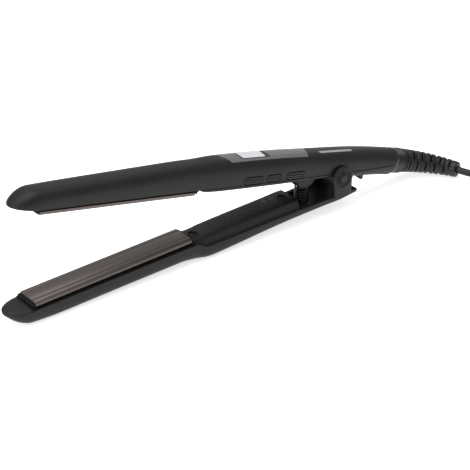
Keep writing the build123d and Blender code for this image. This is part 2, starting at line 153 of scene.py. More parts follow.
def moulded(name, colour, rough, grain=0.25, grain_mm=0.35, shine=0.5, stretch=(1, 1, 1), sheen=0.0):
    """Moulded plastic or rubber: fine grain, slightly uneven colour and gloss."""
    material, tree, shader = blank(name)
    where = here(tree, stretch)
    fine = noise(tree, where, 1.0 / (grain_mm * MM), 2.0)
    broad = noise(tree, where, 60.0, 4.0)
    darker = tuple(c * 0.86 for c in colour)
    lighter = tuple(c * 1.14 for c in colour)
    tree.links.new(tint(tree, broad, darker, lighter), shader.inputs["Base Color"])
    tree.links.new(spread(tree, broad, rough - 0.04, rough + 0.05), shader.inputs["Roughness"])
    shader.inputs["Specular IOR Level"].default_value = shine
    shader.inputs["Sheen Weight"].default_value = sheen
    shader.inputs["Sheen Roughness"].default_value = 0.5
    raise_grain(tree, shader, fine, grain, 0.00006)
    return material


def metal(name, colour, rough, streak=(1, 1, 1), amount=1.0, grain=0.2, grain_mm=0.25, contrast=0.12):
    """Satin or brushed metal, its streaks drawn out along the axis with the smallest stretch."""
    material, tree, shader = blank(name)
    where = here(tree, streak)
    fine = noise(tree, where, 1.0 / (grain_mm * MM), 3.0)
    broad = noise(tree, where, 90.0, 3.0)
    darker = tuple(c * (1 - contrast) for c in colour)
    lighter = tuple(c * (1 + contrast) for c in colour)
    tree.links.new(tint(tree, broad, darker, lighter), shader.inputs["Base Color"])
    tree.links.new(spread(tree, fine, rough - 0.05, rough + 0.07), shader.inputs["Roughness"])
    shader.inputs["Metallic"].default_value = amount
    raise_grain(tree, shader, fine, grain, 0.00003)
    return material


def lit_display(name):
    """The pale display behind its clear window."""
    material, tree, shader = blank(name)
    soft = noise(tree, here(tree), 70.0, 1.0)
    tree.links.new(tint(tree, soft, (0.5, 0.48, 0.51), (0.58, 0.56, 0.6)), shader.inputs["Base Color"])
    shader.inputs["Roughness"].default_value = 0.16
    shader.inputs["Emission Color"].default_value = (0.78, 0.76, 0.86, 1)
    shader.inputs["Emission Strength"].default_value = 0.06
    shader.inputs["Coat Weight"].default_value = 0.6
    return material


BLACK = (0.0085, 0.0085, 0.0078)
FINISHES = {
    "soft_touch_black": moulded("soft_touch_black", BLACK, 0.44, 0.16, 0.22, 0.2),
    "inner_black": moulded("inner_black", (0.009, 0.009, 0.0084), 0.42, 0.35, 0.30, 0.2),
    "carrier_black": moulded("carrier_black", (0.004, 0.004, 0.004), 0.5, 0.3, 0.4, 0.12),
    "button_black": moulded("button_black", (0.009, 0.009, 0.0085), 0.34, 0.1, 0.2, 0.25),
    "ceramic_plate": metal("ceramic_plate", (0.088, 0.074, 0.068), 0.32, (0.08, 1, 1), 0.6, 0.12, 0.16, 0.09),
    "heater_ceramic": moulded("heater_ceramic", (0.62, 0.58, 0.5), 0.6, 0.4, 0.5),
    # spring_steel is near black: partly a dark steel and partly painted shade of the cavity between the arms
    # where the spring sits.
    "spring_steel": metal("spring_steel", (0.02, 0.02, 0.02), 0.3, (1, 1, 0.2)),
    "sensor_glass": moulded("sensor_glass", (0.5, 0.27, 0.12), 0.12, 0.05, 0.5, 0.6),
    "fuse_metal": metal("fuse_metal", (0.62, 0.62, 0.6), 0.3, (0.2, 1, 1)),
    "satin_silver": metal("satin_silver", (0.17, 0.167, 0.165), 0.34, (0.06, 1, 1), 0.7, 0.14, 0.14, 0.06),
    "gloss_black": moulded("gloss_black", (0.004, 0.004, 0.005), 0.12, 0.03, 0.3, 0.3),
    "display_glass": lit_display("display_glass"),
    "display_lit": lit_display("display_lit"),
    "board": moulded("board", (0.02, 0.11, 0.05), 0.35, 0.3, 1.2),
    "switch_plastic": moulded("switch_plastic", (0.04, 0.04, 0.04), 0.4, 0.2, 0.3),
    "lead_insulation": moulded("lead_insulation", (0.32, 0.03, 0.02), 0.4, 0.2, 0.4),
    "silicone": moulded("silicone", (0.34, 0.09, 0.06), 0.45, 0.2, 0.4),
    "swivel_plastic": moulded("swivel_plastic", (0.0085, 0.0085, 0.008), 0.2, 0.06, 0.3, 0.4),
    "relief_rubber": moulded("relief_rubber", (0.0085, 0.0085, 0.0078), 0.36, 0.2, 0.25, 0.25),
    "cord_rubber": moulded("cord_rubber", (0.008, 0.008, 0.008), 0.36, 0.12, 0.3, 0.25),
    "tie_plastic": moulded("tie_plastic", (0.02, 0.02, 0.02), 0.5, 0.3, 0.3),
    "plug_plastic": moulded("plug_plastic", (0.01, 0.01, 0.01), 0.4, 0.25, 0.25, 0.25),
    "plug_brass": metal("plug_brass", (0.62, 0.6, 0.56), 0.2, (0.3, 1, 1)),
    "screw_steel": metal("screw_steel", (0.03, 0.03, 0.03), 0.36, (1, 1, 1), 0.6),
    "pin_steel": metal("pin_steel", (0.5, 0.5, 0.5), 0.24, (1, 0.2, 1)),
}
LABEL = moulded("label_grey", (0.02, 0.02, 0.019), 0.4, 0.2, 0.25, 0.3)
PRINT = moulded("pale_print", (0.3, 0.3, 0.295), 0.4, 0.1, 0.2, 0.3)

# ---------------------------------------------------------------- mesh helpers


def solid(name, points, faces, place):
    """A mesh from points in millimetres, seated in metres, its doubles merged and its faces outwards."""
    mesh = bpy.data.meshes.new(name)
    mesh.from_pydata([place @ Vector(p) for p in points], [], faces)
    work = bmesh.new()
    work.from_mesh(mesh)
    bmesh.ops.remove_doubles(work, verts=work.verts, dist=0.000004)
    bmesh.ops.dissolve_degenerate(work, edges=work.edges, dist=0.000002)
    bmesh.ops.recalc_face_normals(work, faces=work.faces)
    work.to_mesh(mesh)
    work.free()
    piece = bpy.data.objects.new(name, mesh)
    bpy.context.scene.collection.objects.link(piece)
    return piece


def loft(name, rows, place):
    """Skins closed rings of equally many points, and closes the two ends with flat faces."""
    across = len(rows[0])
    points = [p for row in rows for p in row]
    faces = []
    for i in range(len(rows) - 1):
        for j in range(across):
            k = (j + 1) % across
            faces.append((i * across + j, i * across + k, (i + 1) * across + k, (i + 1) * across + j))
    last = (len(rows) - 1) * across
    faces.append(tuple(reversed(range(across))))
    faces.append(tuple(range(last, last + across)))
    return solid(name, points, faces, place)


def settle(piece):
    """Turns a piece's modifiers into its plain mesh."""
    evaluated = piece.evaluated_get(bpy.context.evaluated_depsgraph_get())
    mesh = bpy.data.meshes.new_from_object(evaluated)
    piece.modifiers.clear()
    if piece.type == "MESH":
        piece.data = mesh
        return piece
    made = bpy.data.objects.new(piece.name, mesh)
    bpy.context.scene.collection.objects.link(made)
    bpy.data.objects.remove(piece)
    return made


def combine(piece, other, how):
    """Cuts, joins or intersects a piece with another, which is used up."""
    modifier = piece.modifiers.new("boolean", "BOOLEAN")
    modifier.operation = how
    modifier.solver = "EXACT"
    modifier.object = other
    bpy.context.view_layer.update()
    settle(piece)
    bpy.data.objects.remove(other)
    return piece


def ease_edges(piece, width_mm, segments=2, angle=40):
    """Rounds a piece's sharp edges."""
    modifier = piece.modifiers.new("bevel", "BEVEL")
    modifier.width = width_mm * MM
    modifier.segments = segments
    modifier.limit_method = "ANGLE"
    modifier.angle_limit = radians(angle)
    modifier.use_clamp_overlap = True
    bpy.context.view_layer.update()
    return settle(piece)


def join(piece, *others):
    """Makes several pieces one object."""
    work = bmesh.new()
    for part in (piece, *others):
        work.from_mesh(part.data)
    work.to_mesh(piece.data)
    work.free()
    for part in others:
        bpy.data.objects.remove(part)
    return piece


def fit(piece, body, slot, *nodes, smooth=38):
    """Gives a piece its finish, hides the nodes it stands for, and lets it ride on its body."""
    piece.data.materials.clear()
    piece.data.materials.append(FINISHES[slot])
    for polygon in piece.data.polygons:
        polygon.material_index = 0
    piece.data.shade_smooth()
    piece.data.set_sharp_from_angle(angle=radians(smooth))
    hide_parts(*nodes)
    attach(piece, body)
    return piece


def smooth_value(table, x, column):
    """A value from rows of (x, ...), along the smooth curve through the rows."""
    xs = [row[0] for row in table]
    vs = [row[column] for row in table]
    if x <= xs[0]:
        return vs[0]
    if x >= xs[-1]:
        return vs[-1]
    slopes = [(vs[i + 1] - vs[i]) / (xs[i + 1] - xs[i]) for i in range(len(xs) - 1)]

    def bend(i):
        if i == 0 or i == len(xs) - 1:
            return slopes[0 if i == 0 else -1]
        a, b = slopes[i - 1], slopes[i]
        return 0.0 if a * b <= 0 else 2 * a * b / (a + b)

    i = max(k for k in range(len(xs) - 1) if xs[k] <= x)
    run = xs[i + 1] - xs[i]
    t = (x - xs[i]) / run
    a = (2 * t**3 - 3 * t**2 + 1) * vs[i] + (t**3 - 2 * t**2 + t) * run * bend(i)
    return a + (3 * t**2 - 2 * t**3) * vs[i + 1] + (t**3 - t**2) * run * bend(i + 1)


def step_up(x, start, end):
    """0 before start, 1 after end, smooth between."""
    t = min(1.0, max(0.0, (x - start) / (end - start)))
    return t * t * (3 - 2 * t)


def power(value, exponent):
    return (1 if value >= 0 else -1) * abs(value) ** exponent


def rounded(corners, radius, steps=6):
    """A flat outline of (x, y) corners, each rounded to a radius."""
    outline = []
    count = len(corners)
    for i, corner in enumerate(corners):
        spot = Vector(corner)
        before = (Vector(corners[i - 1]) - spot).normalized()
        after = (Vector(corners[(i + 1) % count]) - spot).normalized()
        half = before.angle(after) / 2
        reach = radius / tan(half)
        centre = spot + (before + after).normalized() * radius / sin(half)
        start = spot + before * reach - centre
        end = spot + after * reach - centre
        for k in range(steps + 1):
            share = k / steps
            outline.append(tuple(centre + start.slerp(end, share)))
    return outline


def capsule(length, height, steps=12):
    """A slot's outline about its centre, as (x, z)."""
    reach = (length - height) / 2
    half_turn = [pi * k / steps for k in range(steps + 1)]
    right = [(reach + height / 2 * sin(angle), -height / 2 * cos(angle)) for angle in half_turn]
    return right + [(-x, -z) for x, z in right]


def prism_up(name, outline, low, high, place):
    """A flat outline drawn up from low to high."""
    return loft(name, [[(x, y, z) for x, y in outline] for z in (low, high)], place)


def prism_side(name, outline, centre, y0, y1, place):
    """A flat outline in X and Z drawn across the iron from y0 to y1."""
    return loft(name, [[(centre[0] + x, y, centre[1] + z) for x, z in outline] for y in (y0, y1)], place)


def turned(name, profile, frame_at, place, around=72):
    """A closed profile of (along, radius) turned about an axis given as (origin, axis, side, up)."""
    origin, axis, side, up = frame_at
    rows = []
    for k in range(around):
        angle = tau * k / around
        out = side * cos(angle) + up * sin(angle)
        rows.append([tuple(origin + axis * s + out * r) for s, r in profile])
    count = len(profile)
    points = [p for row in rows for p in row]
    faces = []
    for i in range(around):
        n = (i + 1) % around
        for j in range(count):
            k = (j + 1) % count
            faces.append((i * count + j, i * count + k, n * count + k, n * count + j))
    return solid(name, points, faces, place)


# ---------------------------------------------------------------- repeats, made by geometry nodes


def row_tree():
    """Geometry nodes: a row of small blocks along a step, each a little different in length if asked."""
    tree = bpy.data.node_groups.new("row_of_blocks", "GeometryNodeTree")
    sockets = tree.interface
    for label, kind in (
        ("Count", "NodeSocketInt"), ("Step", "NodeSocketVector"), ("Size", "NodeSocketVector"),
        ("Unevenness", "NodeSocketFloat"), ("Finish", "NodeSocketMaterial"),
    ):
        sockets.new_socket(name=label, in_out="INPUT", socket_type=kind)
    sockets.new_socket(name="Geometry", in_out="OUTPUT", socket_type="NodeSocketGeometry")
    nodes, links = tree.nodes, tree.links
    given = nodes.new("NodeGroupInput")
    result = nodes.new("NodeGroupOutput")
    line = nodes.new("GeometryNodeMeshLine")
    block = nodes.new("GeometryNodeMeshCube")
    place = nodes.new("GeometryNodeInstanceOnPoints")
    vary = nodes.new("FunctionNodeRandomValue")
    shrink = nodes.new("ShaderNodeMath")
    scale = nodes.new("ShaderNodeCombineXYZ")
    real = nodes.new("GeometryNodeRealizeInstances")
    paint = nodes.new("GeometryNodeSetMaterial")
    shrink.operation = "SUBTRACT"
    shrink.inputs[0].default_value = 1.0
    scale.inputs["Y"].default_value = 1.0
    scale.inputs["Z"].default_value = 1.0
    vary.inputs["Seed"].default_value = 4
    links.new(given.outputs["Count"], line.inputs["Count"])
    links.new(given.outputs["Step"], line.inputs["Offset"])
    links.new(given.outputs["Size"], block.inputs["Size"])
    links.new(line.outputs["Mesh"], place.inputs["Points"])
    links.new(block.outputs["Mesh"], place.inputs["Instance"])
    links.new(given.outputs["Unevenness"], vary.inputs[3])
    links.new(vary.outputs[1], shrink.inputs[1])
    links.new(shrink.outputs[0], scale.inputs["X"])
    links.new(scale.outputs[0], place.inputs["Scale"])
    links.new(place.outputs["Instances"], real.inputs["Geometry"])
    links.new(real.outputs["Geometry"], paint.inputs["Geometry"])
    links.new(given.outputs["Finish"], paint.inputs["Material"])
    links.new(paint.outputs["Geometry"], result.inputs["Geometry"])
    return tree


ROW = row_tree()


def row_of_blocks(name, start, count, step, size, finish, place, unevenness=0.0):
    """A row of small blocks that starts at a point of the closed iron."""
    holder = bpy.data.objects.new(name, bpy.data.meshes.new(name))
    bpy.context.scene.collection.objects.link(holder)
    modifier = holder.modifiers.new("row", "NODES")
    modifier.node_group = ROW
    values = {"Count": count, "Step": step, "Size": size, "Unevenness": unevenness, "Finish": finish}
    for item in ROW.interface.items_tree:
        if item.item_type == "SOCKET" and item.in_out == "INPUT":
            modifier[item.identifier] = values[item.name]
    bpy.context.view_layer.update()
    settle(holder)
    holder.data.transform(place @ Matrix.Translation(start))
    return holder


# ---------------------------------------------------------------- the arms' outer surfaces

# (distance from the nose, half width, height above the closing plane, squareness of the section)
UPPER_STATIONS = (
    (16.0, 10.0, 14.3, 3.1), (35.0, 10.0, 15.2, 3.3), (80.0, 10.0, 17.2, 3.3), (118.0, 10.0, 18.8, 3.3),
    (130.0, 9.95, 19.2, 3.1), (145.0, 10.4, 19.8, 3.2), (165.0, 10.7, 19.5, 3.3), (190.0, 10.7, 18.8, 3.3),
    (222.0, 10.1, 17.4, 3.0), (250.0, 9.9, 16.1, 2.7), (268.0, 9.2, 14.7, 2.4), (289.0, 8.1, 12.2, 2.0),
)
LOWER_STATIONS = (
    (16.0, 10.0, 14.8, 3.1), (35.0, 10.0, 15.6, 3.3), (80.0, 10.0, 15.4, 3.3), (119.0, 10.0, 15.4, 3.3),
    (131.0, 10.2, 17.0, 3.2), (142.0, 10.5, 18.8, 3.1), (156.0, 10.9, 18.1, 3.1), (190.0, 11.2, 16.0, 3.1),
    (225.0, 12.2, 14.5, 3.3), (238.0, 12.9, 14.0, 3.4), (250.0, 12.7, 12.7, 3.4),
)
NOSE_TIP_HEIGHT = 6.0
NOSE_TIP_SQUARENESS = 2.2
EAR = 7.8
LOW_SEAM = 8.6
LOW_SEAM_START = 129.4
LOW_SEAM_DROP = 9.0
NOSE_ROWS = 18
ACROSS = 56
TAIL_LEAN = radians(6.0)
TAIL_ORIGIN = Vector((294.6, 0, 3.7))
TAIL_AXIS = Vector((cos(TAIL_LEAN), 0, -sin(TAIL_LEAN)))
TAIL_SIDE = Vector((0, 1, 0))
TAIL_UP = Vector((sin(TAIL_LEAN), 0, cos(TAIL_LEAN)))
TAIL = (TAIL_ORIGIN, TAIL_AXIS, TAIL_SIDE, TAIL_UP)
COLLAR_START = -9.0
SHELL_END_X = TAIL_ORIGIN.x + (COLLAR_START - 0.25) * cos(TAIL_LEAN)


def girth(stations, x):
    """Half width, height and squareness of an arm at x, its nose being half an ellipse seen from above."""
    half = smooth_value(stations, x, 1)
    height = smooth_value(stations, x, 2)
    square = smooth_value(stations, x, 3)
    if x < NOSE:
        swell = max(0.0, 1 - (1 - x / NOSE) ** 2)
        half = half * sqrt(swell)
        height = NOSE_TIP_HEIGHT + (height - NOSE_TIP_HEIGHT) * swell
        square = NOSE_TIP_SQUARENESS + (square - NOSE_TIP_SQUARENESS) * x / NOSE
    return half, height, square


def bow(half, rim, height, square, bevel, steps=ACROSS):
    """Half a section, from the near rim over the crown to the far rim, as (y, z)."""
    points = [(-max(0.0, half - bevel), rim)]
    for k in range(steps + 1):
        angle = pi * k / steps
        y = -half * power(cos(angle), 2 / square)
        z = rim + bevel + (height - rim - bevel) * power(sin(angle), 2 / square)
        points.append((y, z))
    points.append((max(0.0, half - bevel), rim))
    return points


def seam_at(side, x):
    """Height of the rim, which drops behind the lower plate, where the inner cover comes down round it."""
    if side < 0:
        return SEAM + (LOW_SEAM - SEAM) * step_up(x, LOW_SEAM_START, LOW_SEAM_START + LOW_SEAM_DROP)
    return SEAM


def places_along(end, step=2.0):
    nose = [NOSE * (1 - cos(pi / 2 * k / NOSE_ROWS)) for k in range(NOSE_ROWS)]
    count = round((end - NOSE) / step)
    return nose + [NOSE + (end - NOSE) * k / count for k in range(count + 1)]


def lean_to_tail(x, z):
    """Leans the last stretch of the upper arm so that it ends square to the tail's axis."""
    middle = TAIL_ORIGIN.z - (COLLAR_START - 0.25) * sin(TAIL_LEAN)
    return x + tan(TAIL_LEAN) * (z - middle) * step_up(x, 262.0, SHELL_END_X)


def shell(name, stations, end, side, place, lean=lambda x, z: x):
    """One arm's outer shell, with its wall, open at the rim and at its end."""
    rows = []
    for x in places_along(end):
        half, height, square = girth(stations, x)
        outer = bow(half, seam_at(side, x), height, square, min(SEAM_BEVEL, half / 3))
        inside_x = WALL + x * (NOSE - WALL) / NOSE if x < NOSE else x
        rim = seam_at(side, x)
        thin = max(0.0, half - WALL) if x >= NOSE else half * (10.0 - WALL) / 10.0
        top = max(rim + 0.4, height - WALL)
        inner = bow(thin, rim, top, square, min(SEAM_BEVEL, thin / 3))
        ring = [(lean(x, side * z), y, side * z) for y, z in outer]
        ring += [(lean(inside_x, side * z), y, side * z) for y, z in reversed(inner)]
        rows.append(ring)
    across = len(rows[0])
    half_ring = across // 2
    points = [p for row in rows for p in row]
    faces = []
    for i in range(len(rows) - 1):
        for j in range(across):
            k = (j + 1) % across
            faces.append((i * across + j, i * across + k, (i + 1) * across + k, (i + 1) * across + j))
    last = (len(rows) - 1) * across
    for j in range(half_ring - 1):
        faces.append((last + j, last + j + 1, last + across - 2 - j, last + across - 1 - j))
    return solid(name, points, faces, place)


def nose_deck(name, stations, side, place, end=14.9):
    """The closed, slightly crowned deck between the nose tip and the plate's carrier."""
    rows = []
    count = 16
    for k in range(count + 1):
        x = 0.25 + (end - 0.25) * (1 - cos(pi / 2 * k / count))
        half = max(0.02, girth(stations, x)[0] - 0.5)
        crown = 0.85 * step_up(x, 0, 5)
        top = [(-half + 2 * half * j / 24, SEAM - crown * (1 - (1 - j / 12) ** 2) ** 0.6) for j in range(25)]
        below = [(half, SEAM + 0.8), (-half, SEAM + 0.8)]
        rows.append([(x, y, side * z) for y, z in top + below])
    return loft(name, rows, place)


def on_top(x, y):
    """Height of the upper arm's outer surface above (x, y)."""
    half, height, square = girth(UPPER_STATIONS, x)
    share = min(0.9999, abs(y) / half)
    low = SEAM + SEAM_BEVEL
    return low + (height - low) * (1 - share**square) ** (1 / square)


def inlay(name, outline, lift, depth, place=UPPER):
    """A skin let into the upper arm's top, inside an outline of (x, y)."""
    x0 = min(x for x, _ in outline) - 0.6
    x1 = max(x for x, _ in outline) + 0.6
    y1 = max(abs(y) for _, y in outline) + 0.5
    columns = max(4, round((x1 - x0) / 1.6))
    steps = 28
    rows = []
    for i in range(columns + 1):
        x = x0 + (x1 - x0) * i / columns
        ys = [-y1 + 2 * y1 * j / steps for j in range(steps + 1)]
        ring = [(x, y, on_top(x, y) + lift) for y in ys]
        ring += [(x, y, on_top(x, y) - depth) for y in reversed(ys)]
        rows.append(ring)
    piece = loft(name, rows, place)
    combine(piece, prism_up("outline", outline, 0, 40, place), "INTERSECT")
    return ease_edges(piece, 0.1, 2, 50)


# ---------------------------------------------------------------- upper arm

BUTTONS = ((168.5, 14.0), (184.4, 11.4), (201.5, 14.8))
BUTTON_Z = 7.2
BUTTON_HEIGHT = 4.2
BUTTON_GAP = 0.45


def upper_outer_shell():
    piece = shell("upper_shell", UPPER_STATIONS, SHELL_END_X, 1, UPPER, lean_to_tail)
    for centre, length in BUTTONS:
        hole = capsule(length + 2 * BUTTON_GAP, BUTTON_HEIGHT + 2 * BUTTON_GAP)
        combine(piece, prism_side("hole", hole, (centre, BUTTON_Z), -14, -5, UPPER), "DIFFERENCE")
    join(piece, nose_deck("deck", UPPER_STATIONS, 1, UPPER))
    fit(piece, "upper_arm", "soft_touch_black", "upper_outer_shell")


def button(number, centre, length):
    """A capsule button with a soft edge and a raised ridge along its middle."""
    front = -(girth(UPPER_STATIONS, centre)[0] + 0.32)
    piece = prism_side(
        f"push_button_{number}", capsule(length, BUTTON_HEIGHT), (centre, BUTTON_Z), front, -8.4, UPPER
    )
    ease_edges(piece, 0.45, 3)
    dish = prism_side(
        "dish", capsule(length - 1.8, BUTTON_HEIGHT - 1.8), (centre, BUTTON_Z), front - 2, front + 0.45, UPPER
    )
    combine(piece, dish, "DIFFERENCE")
    ridge = prism_side("ridge", capsule(length - 3.4, 0.95), (centre, BUTTON_Z), front - 0.12, -9.0, UPPER)
    ease_edges(ridge, 0.25, 2)
    flange = prism_side(
        "flange", capsule(length + 1.2, BUTTON_HEIGHT + 1.2), (centre, BUTTON_Z), -8.5, -7.6, UPPER
    )
    join(piece, ridge, flange)
    fit(piece, f"button_{number}", "button_black", f"button_{number}")


def dome(name, centre, radius, height, place):
    """A small lens on the near side."""
    profile = [(-1.0, 0.0)] + [(-1.0, radius)]
    profile += [(height * sin(pi / 2 * k / 6), radius * cos(pi / 2 * k / 6)) for k in range(7)]
    around = (Vector(centre), Vector((0, -1, 0)), Vector((1, 0, 0)), Vector((0, 0, 1)))
    return turned(name, profile, around, place, 24)


def top_inlays():
    corners = [(152.4, -6.8), (212.6, -6.8), (217.5, 6.8), (146.4, 6.8)]
    fit(inlay("silver_panel", rounded(corners, 1.3), 0.10, 0.9), "upper_arm", "satin_silver", "control_panel")
    frame_corners = [(161.4, -4.6), (183.6, -4.6), (185.4, 4.5), (162.0, 4.5)]
    bezel = inlay("bezel", rounded(frame_corners, 1.0), 0.17, 0.8)
    fit(bezel, "upper_arm", "gloss_black", "display_bezel")
    glass_corners = [(163.2, -3.5), (179.6, -3.5), (180.2, 3.5), (163.2, 3.5)]
    glass = inlay("window", rounded(glass_corners, 0.5), 0.21, 0.7)
    fit(glass, "upper_arm", "display_glass", "display_window")
    stripe = inlay(
        "pinstripe", rounded([(224.5, -3.3), (250.0, -3.0), (250.0, -2.5), (224.5, -2.8)], 0.2), 0.05, 0.5
    )
    fit(stripe, "upper_arm", "satin_silver")
    stripe.data.materials[0] = PRINT


COVER_STATIONS = (
    (129.7, 9.9, 3.9), (130.6, 10.0, 3.0), (133.0, 10.1, 2.1), (138.0, 10.2, 1.45), (146.0, 10.4, 1.2),
    (190.0, 10.7, 1.2), (222.0, 10.1, 1.2), (232.0, 10.0, 0.9), (250.0, 9.9, -0.4), (268.0, 9.2, -2.3),
    (289.0, 8.1, -4.8),
)
BARREL = (HINGE, Vector((0, 1, 0)), Vector((1, 0, 0)), Vector((0, 0, 1)))


def upper_inner_cover():
    """The underside of the handle and the tail, with the hinge barrel and the spring's boss."""
    rows = []
    count = 70
    for i in range(count + 1):
        x = 129.7 + (SHELL_END_X - 129.7) * i / count
        half = girth(UPPER_STATIONS, x)[0]
        low = smooth_value(COVER_STATIONS, x, 2)
        square = 3.0 - step_up(x, 235.0, 285.0)
        rim = SEAM - 0.02
        ring = []
        for k in range(41):
            angle = pi * k / 40
            y = -half * power(cos(angle), 2 / square)
            z = rim - SEAM_BEVEL - (rim - SEAM_BEVEL - low) * power(sin(angle), 2 / square)
            ring.append((lean_to_tail(x, z), y, z))
        ring.append((lean_to_tail(x, rim), half - SEAM_BEVEL, rim))
        ring.append((lean_to_tail(x, rim), SEAM_BEVEL - half, rim))
        rows.append(ring)
    piece = loft("upper_cover", rows, UPPER)
    barrel_profile = [(-10.1, 2.05), (-10.1, 6.8), (-9.7, 7.2), (9.7, 7.2), (10.1, 6.8), (10.1, 2.05)]
    barrel = turned("barrel", barrel_profile, BARREL, UPPER, 96)
    boss_axis = (Vector((214.5, 0, 3.0)), Vector((0, 1, 0)), Vector((1, 0, 0)), Vector((0, 0, 1)))
    boss_profile = [
        (-7.0, 0), (-7.0, 6.6), (-6.6, 7.4), (-5.6, 7.9), (5.6, 7.9), (6.6, 7.4), (7.0, 6.6), (7.0, 0)
    ]
    boss = turned("boss", boss_profile, boss_axis, UPPER, 96)
    for round_part in (boss, barrel):
        keep_below = prism_up("below", [(190, -12), (260, -12), (260, 12), (190, 12)], -20, SEAM - 0.03, UPPER)
        combine(round_part, keep_below, "INTERSECT")
    recess = prism_up(
        "recess", rounded([(250.2, -3.9), (266.5, -3.9), (266.5, 3.9), (250.2, 3.9)], 0.6), -8, 0.1, UPPER
    )
    combine(piece, recess, "DIFFERENCE")
    join(piece, barrel, boss)
    fit(piece, "upper_arm", "inner_black", "upper_inner_cover")


def plate(arm, side, place, body):
    """A floating plate: flat towards the hair, a fine groove each side, and rounded long edges."""
    start, length, half, face, back = 17.0, 110.0, 8.5, 0.15, 2.9
    groove, groove_half = 4.5, 0.24
    near = [(0.0, 0.0), (groove - groove_half, 0.0), (groove, 0.5), (groove + groove_half, 0.04)]
    near += [(6.4, 0.1), (7.3, 0.28), (7.9, 0.6), (8.3, 1.05), (8.47, 1.6), (half, 2.1), (half, back - face)]
    outline = [(y, face + drop) for y, drop in near]
    outline += [(-y, face + drop) for y, drop in reversed(near[1:])]
    rows = [[(x, y, side * z) for y, z in outline] for x in (start, start + length)]
    piece = loft(f"{arm}_hot_plate", rows, place)
    ease_edges(piece, 0.14, 2, 60)
    fit(piece, body, "ceramic_plate", f"{arm}_plate", smooth=24)


def carrier(arm, side, place):
    """The dark frame round a plate: a thin layered lip at each end and a ledge along each side."""
    start, end, half = 14.9, 129.1, 8.3
    layers = []
    for low, high, inset in ((3.3, 4.4, 0.0), (1.9, 2.9, 0.5)):
        for x0, x1 in ((start + inset, 16.75), (127.25, end - inset)):
            outline = rounded(
                [(x0, -half + inset), (x1, -half + inset), (x1, half - inset), (x0, half - inset)], 0.45
            )
            layer = prism_up(
                "layer", outline, min(side * low, side * high), max(side * low, side * high), place
            )
            layers.append(ease_edges(layer, 0.12, 2))
    base = rounded([(start + 0.3, -7.9), (end - 0.3, -7.9), (end - 0.3, 7.9), (start + 0.3, 7.9)], 1.0)
    low, high = sorted((side * 4.0, side * 6.3))
    piece = prism_up(f"{arm}_plate_frame", base, low, high, place)
    window = rounded([(29, -5.6), (115, -5.6), (115, 5.6), (29, 5.6)], 1.0)
    combine(piece, prism_up("window_cut", window, -20, 20, place), "DIFFERENCE")
    join(piece, *layers)
    fit(piece, f"{arm}_arm", "carrier_black", f"{arm}_plate_carrier")


def cushions(arm, side, place):
    """The silicone pads behind a plate, drawn at their uncompressed height."""
    pads = []
    for x in (24, 120):
        for y in (-5, 5):
            axis = (Vector((x, y, side * 2.9)), Vector((0, 0, side)), Vector((1, 0, 0)), Vector((0, 1, 0)))
            pads.append(turned(
                "pad", [(0.0, 0), (0.0, 1.6), (0.2, 1.8), (0.9, 1.8), (1.1, 1.6), (1.1, 0)], axis, place, 24
            ))
    piece = join(pads[0], *pads[1:])
    piece.name = f"{arm}_cushions"
    fit(piece, f"{arm}_arm", "silicone", f"{arm}_float_pads")
    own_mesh(piece)


# ---------------------------------------------------------------- lower arm


def lower_outer_shell():
    piece = shell("lower_shell", LOWER_STATIONS, 250.0, -1, LOWER)
    wall_rows = []
    for x in (248.2, 249.7):
        half, height, square = girth(LOWER_STATIONS, x)
        ring = bow(half - 0.4, LOW_SEAM, height - 0.4, square, 0.2)
        wall_rows.append([(x, y, -z) for y, z in ring])
    end_wall = loft("end_wall", wall_rows, LOWER)
    ears = []
    for way in (-1, 1):
        dome_angles = [pi * (k / 36 - 0.5) * 1.25 for k in range(37)]
        dome_top = [(EAR * sin(angle), EAR * cos(angle)) for angle in dome_angles]
        outline = dome_top + [(6.6, -12.0), (-6.9, -12.0)]
        inner_face, outer_face = sorted((way * 10.4, way * 12.85))
        ear = prism_side("ear", outline, (HINGE.x, HINGE.z), inner_face, outer_face, LOWER)
        ears.append(ease_edges(ear, 0.9, 4))
    join(piece, nose_deck("deck", LOWER_STATIONS, -1, LOWER), end_wall, *ears)
    for vertex in piece.data.vertices:
        vertex.co.z = max(vertex.co.z, 0.0)
    fit(piece, "lower_arm", "soft_touch_black", "lower_outer_shell")


COVER_START = 129.6
COVER_END = 207.0
SCREWS = (133.7, 201.0)


def cover_height(x, y):
    """The lower inner cover's surface: from the low rim up a sloped side to the broad raised middle."""
    half = girth(LOWER_STATIONS, x)[0]
    rim = -seam_at(-1, x)
    edge = half - abs(y)
    shelf = rim + 0.5 * step_up(edge, 0.0, 0.5)
    slope = step_up(edge, 1.0, 3.6)
    top = -2.9 + 0.35 * step_up(x, 137.0, 141.0) * (1 - step_up(x, 203.0, 206.5)) - 0.035 * y * y / 4
    return shelf + (top - shelf) * slope


